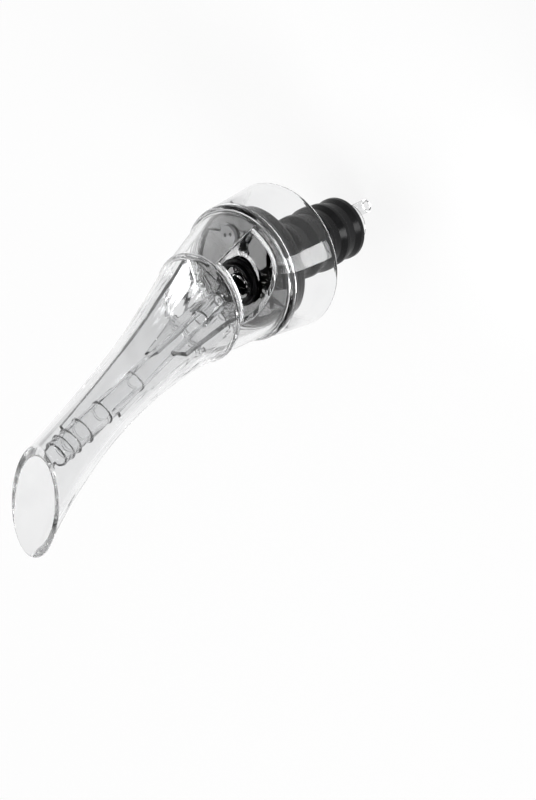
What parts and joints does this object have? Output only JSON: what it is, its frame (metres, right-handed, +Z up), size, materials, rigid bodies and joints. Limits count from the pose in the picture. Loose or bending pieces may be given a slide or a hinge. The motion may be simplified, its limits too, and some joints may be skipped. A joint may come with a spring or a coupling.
{
  "type": "wine aerator pourer",
  "caption": "Clear pouring spout with an open-sided air chamber and an inner flow tube, on a skirted, ribbed bottle stopper with an air return.",
  "frame": {"origin": "middle of the bottle lip, on the neck's axis under the stopper's flange", "axes": "+Z up along the neck's axis to the spout, -X towards the pouring side, XZ is the plane of symmetry"},
  "size_m": [0.0652, 0.041, 0.1478],
  "materials": {
    "clear_acrylic": "clear polished acrylic",
    "black_silicone": "smooth black silicone rubber"
  },
  "bodies": {
    "stopper_base": {"stopper": "black_silicone"},
    "stem_unit": {"stem": "clear_acrylic", "chamber_seal": "black_silicone", "vent_tube": "clear_acrylic", "vent_cap": "clear_acrylic", "wine_nozzle": "clear_acrylic", "nozzle_gasket": "black_silicone"},
    "clear_housing": {"neck_skirt": "clear_acrylic", "air_chamber": "clear_acrylic", "spout_shell": "clear_acrylic", "flow_tube": "clear_acrylic", "guide_vanes": "clear_acrylic"}
  },
  "joints": [
    {"name": "spout_turn", "type": "hinge", "parent": "stopper_base", "child": "stem_unit", "pos_m": [0, 0, 0], "axis": [0, 0, 1], "continuous": true},
    {"name": "housing_lift", "type": "slide", "parent": "stem_unit", "child": "clear_housing", "axis": [0, 0, 1], "range_m": [0, 0.03]}
  ]
}
